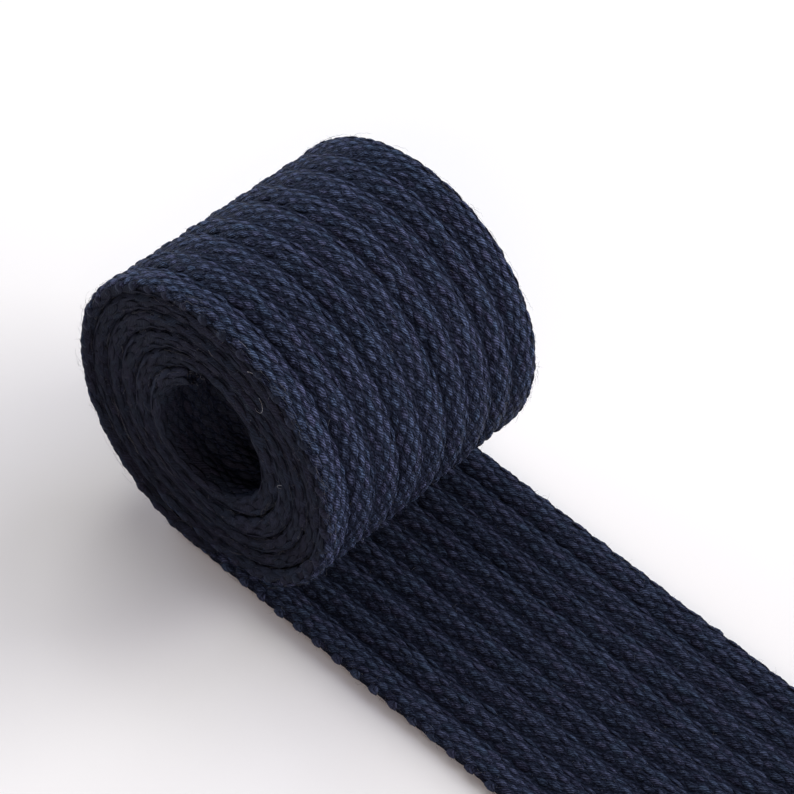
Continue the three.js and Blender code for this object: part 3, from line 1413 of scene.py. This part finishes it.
@dataclass
class CottonTape:
    """The whole tape: its ground, its stitches on every side that shows, and its fuzz.

    A short length at the cut end and at the tail is bare: no stitches lie on it.
    """

    section: TapeSection = field(default_factory=TapeSection)
    body: str = "root"
    slot: str = "navy_cotton"
    split_x: float = 3.15
    cut_bare: float = 1.2
    tail_bare: float = 1.0
    outer_turn: float = 1.06
    eye_turn: float = 4.42
    # How much lighter in tone the stitches on the turns' outer rims are.
    rim_lightening: float = 0.9
    stitch: StitchShape = StitchShape()
    plain_stitch: StitchShape = StitchShape(rings=(-0.6, 0.0, 0.6), angles=(-95.0, 0.0, 95.0, 180.0))
    soft_stitch: StitchShape = StitchShape(length=4.9, half_width=0.8, half_height=0.14, dip=0.06, rise=0.0)

    def __post_init__(self) -> None:
        """Lays out the tape and makes its finishes."""
        self.line = TapeLine(self.section)
        self.weave = Weave(self.section, self.line)
        self.split = self.line.at_x(self.split_x)
        plies, dye_and_light = Plies().build(), DyeAndPaintedLight().build()
        self.yarn = CottonFinish("navy_cotton_yarn").build(plies, dye_and_light)
        # A copy of the yarn finish with a weaker painted highlight and a little less painted shade, for the
        # loose end.
        self.inside = CottonFinish(
            "navy_cotton_inside_dim_highlight",
            painted_shade=(0.0040, 0.0048, 0.0098),
            navy=(0.0116, 0.0143, 0.0299),
            painted_highlight=(0.0640, 0.0830, 0.1509),
        ).build(plies, dye_and_light)
        # Darker than the yarn: the weft's own colour, with painted shade for the shadows between the
        # stitches.
        self.ground = CottonFinish(
            "navy_cotton_ground",
            navy=(0.0074, 0.0095, 0.0198),
            painted_highlight=(0.0306, 0.0405, 0.0760),
            ply_width=1.1,
            fibre_scale=3.4,
        ).build(plies, dye_and_light)
        # A copy with a faint painted highlight and a faint painted shade, for the end faces and the eye.
        self.selvedge = CottonFinish(
            "navy_cotton_selvedge_faint_light",
            painted_shade=(0.0111, 0.0127, 0.0201),
            navy=(0.0131, 0.0148, 0.0254),
            painted_highlight=(0.0276, 0.0335, 0.0587),
            bump=0.35,
        ).build(plies, dye_and_light)
        self.fibre = FibreFinish("navy_cotton_fuzz").build()

    def add(self, name: str, parts: MeshParts, material: bpy.types.Material) -> bpy.types.Object:
        """Makes a piece that rides on the tape's body.

        Args:
            name: the piece's name.
            parts: its points and faces.
            material: its finish.

        Returns:
            The piece.
        """
        piece = parts.build(name, material)
        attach(piece, self.body)
        return piece

    def build_loose_end(self) -> None:
        """Makes the stretch that lies flat, with stitches on both faces and its selvedges."""
        weave, start, end = self.weave, 0.0, self.split
        strip = GroundStrip(self.section, self.line).build(start, end)
        ground = self.add("loose_end_ground", strip, self.ground)
        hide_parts("loose_end")
        sewn = start + self.cut_bare
        upper = [
            weave.stitches(weave.face_columns(Side.INSIDE), sewn, end, self.stitch),
            WeftTurns(weave).build(sewn, end),
        ]
        face = self.add("loose_end_stitches", MeshParts.join(upper), self.inside)
        lower = weave.stitches(weave.face_columns(Side.OUTSIDE), sewn, end, self.plain_stitch)
        back = self.add("loose_end_underside", lower, self.inside)

    def build_roll(self) -> None:
        """Makes the wound stretch: the outermost turn's face, all the selvedges, and the eye."""
        line, weave = self.line, self.weave
        start, end, round_once = self.split, line.length, line.at_turn(self.outer_turn)
        strip = GroundStrip(self.section, line).build(start, end)
        ground = self.add("roll_ground", strip, self.ground)
        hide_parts("tape_roll")
        outside = weave.face_columns(Side.OUTSIDE)
        outer = weave.stitches(outside, start, round_once, self.stitch)
        face = self.add("roll_stitches", outer, self.yarn)
        near = weave.edge_columns(4)
        below, last = near[~np.isin(near, outside)], end - self.tail_bare
        edges = [
            weave.stitches(below, start, round_once, self.soft_stitch),
            weave.stitches(near, round_once, last, self.soft_stitch, rims_lighter=self.rim_lightening),
            WeftTurns(weave, stand_out=0.3).build(start, round_once),
        ]
        selvedges = self.add("roll_selvedge_stitches", MeshParts.join(edges), self.selvedge)
        inside, eye = weave.face_columns(Side.INSIDE), line.at_turn(self.eye_turn)
        inner = weave.stitches(inside[~np.isin(inside, near)], eye, last, self.stitch)
        lining = self.add("eye_stitches", inner, self.selvedge)

    def build_fuzz(self) -> None:
        """Grows the loose fibres, most of them along the selvedges, and frays both cut ends."""
        weave, fuzz, split, tail = self.weave, Fuzz(self.weave), self.split, self.line.length
        outside, inside = (weave.face_columns(side) for side in Side)
        ends, rims, cut = weave.edge_columns(3), weave.rims(), np.arange(len(weave.columns))
        wound = [
            fuzz.grow(outside, split, self.line.at_turn(1.0), count=2000, reach=0.5),
            fuzz.grow(ends, split, tail, count=4800, reach=0.6),
            fuzz.trail(rims, split, tail, count=800),
            fuzz.fray(cut, tail, way=1.0, many=6, reach=1.1, thick=0.05),
            fuzz.lint(LINT),
        ]
        flat = [
            fuzz.grow(inside, 0.0, split, count=1500, reach=0.45),
            fuzz.grow(ends, 0.0, split, count=1200, reach=0.6),
            fuzz.trail(rims, 0.0, split, count=110),
            fuzz.fray(cut, 0.0, way=-1.0, many=2, reach=1.0, thick=0.2),
            fuzz.fray(cut, 0.0, way=-1.0, many=8, reach=1.3, thick=0.045),
        ]
        self.add("roll_fuzz", MeshParts.join(wound), self.fibre)
        self.add("loose_end_fuzz", MeshParts.join(flat), self.fibre)


@dataclass(frozen=True)
class Lamp:
    """A soft light: where it hangs round the roll, from +X towards +Y and up, in degrees; its watts."""

    name: str
    azimuth: float
    elevation: float
    power: float
    colour: Colour


LAMPS = (
    Lamp("back_low", 60.0, 10.0, 10.7, (1.05, 0.97, 1.03)),
    Lamp("left_low", 180.0, 10.0, 15.6, (0.93, 1.0, 1.1)),
    Lamp("right_middle", 30.0, 28.0, 2.6, (1.0, 1.0, 1.2)),
    Lamp("back_middle", 60.0, 28.0, 7.4, (1.0, 1.04, 0.93)),
    Lamp("front_fill", 300.0, 28.0, 4.5, (1.2, 0.98, 0.87)),
    Lamp("back_high", 90.0, 50.0, 4.2, (1.0, 1.0, 1.1)),
    Lamp("left_high", 150.0, 50.0, 6.9, (1.0, 1.0, 0.96)),
)


@dataclass(frozen=True)
class Studio:
    """The floor, the lights and the camera, in metres and degrees."""

    camera_place: tuple[float, float, float] = (0.19655, -0.22842, 0.35584)
    azimuth: float = 37.70
    elevation: float = 48.02
    roll: float = 7.37
    lens: float = 121.65
    sensor: float = 36.0
    nearest: float = 0.01
    farthest: float = 20.0
    floor_half: float = 4.0
    lamp_target: tuple[float, float, float] = (0.03, 0.0, 0.02)
    lamp_distance: float = 1.3
    lamp_size: float = 0.7
    room: Colour = (1.0, 0.95, 1.1)
    room_strength: float = 0.05

    def build(self) -> None:
        """Sets up everything round the tape."""
        self.build_floor()
        self.build_room()
        for lamp in LAMPS:
            self.build_lamp(lamp)
        self.build_camera()
        bpy.context.scene.view_settings.view_transform = "Standard"

    def build_floor(self) -> None:
        """Lays the pale floor."""
        half = self.floor_half
        corners = [(-half, -half, 0), (half, -half, 0), (half, half, 0), (-half, half, 0)]
        mesh = bpy.data.meshes.new("floor")
        mesh.from_pydata(corners, [], [(0, 1, 2, 3)])
        mesh.materials.append(FloorFinish().build())
        floor = bpy.data.objects.new("floor", mesh)
        bpy.context.scene.collection.objects.link(floor)

    def build_room(self) -> None:
        """Fills the room with a little soft light."""
        world = bpy.data.worlds.new("studio")
        world.use_nodes = True
        background = world.node_tree.nodes["Background"]
        background.inputs[0].default_value = (*self.room, 1.0)
        background.inputs[1].default_value = self.room_strength
        bpy.context.scene.world = world

    def build_lamp(self, lamp: Lamp) -> None:
        """Hangs a square soft light that faces the roll.

        Args:
            lamp: its place, power and colour.
        """
        turn, lift = math.radians(lamp.azimuth), math.radians(lamp.elevation)
        away = Vector((math.cos(turn) * math.cos(lift), math.sin(turn) * math.cos(lift), math.sin(lift)))
        light = bpy.data.lights.new(lamp.name, "AREA")
        light.size, light.energy, light.color = self.lamp_size, lamp.power, lamp.colour
        shade = bpy.data.objects.new(lamp.name, light)
        shade.location = away * self.lamp_distance + Vector(self.lamp_target)
        shade.rotation_mode = "QUATERNION"
        shade.rotation_quaternion = away.to_track_quat("Z", "Y")
        bpy.context.scene.collection.objects.link(shade)

    def build_camera(self) -> None:
        """Places the camera at the photograph's viewing angle."""
        az, el, turn = (math.radians(a) for a in (self.azimuth, self.elevation, self.roll))
        ahead = Vector((-math.sin(az) * math.cos(el), math.cos(az) * math.cos(el), -math.sin(el)))
        level = ahead.cross(Vector((0, 0, 1))).normalized()
        above = level.cross(ahead)
        right = level * math.cos(turn) + above * math.sin(turn)
        up = above * math.cos(turn) - level * math.sin(turn)
        data = bpy.data.cameras.new("camera")
        data.lens, data.sensor_width = self.lens, self.sensor
        data.clip_start, data.clip_end = self.nearest, self.farthest
        camera = bpy.data.objects.new("camera", data)
        axes = Matrix((right, up, -ahead)).transposed()
        camera.matrix_world = Matrix.Translation(self.camera_place) @ axes.to_4x4()
        bpy.context.scene.collection.objects.link(camera)
        bpy.context.scene.camera = camera


def main() -> None:
    """Builds the tape and the studio round it."""
    logging.basicConfig(level=logging.INFO, format="%(name)s %(message)s", force=True)
    Studio().build()
    tape = CottonTape()
    tape.build_loose_end()
    tape.build_roll()
    tape.build_fuzz()


if __name__ == "__main__":
    main()
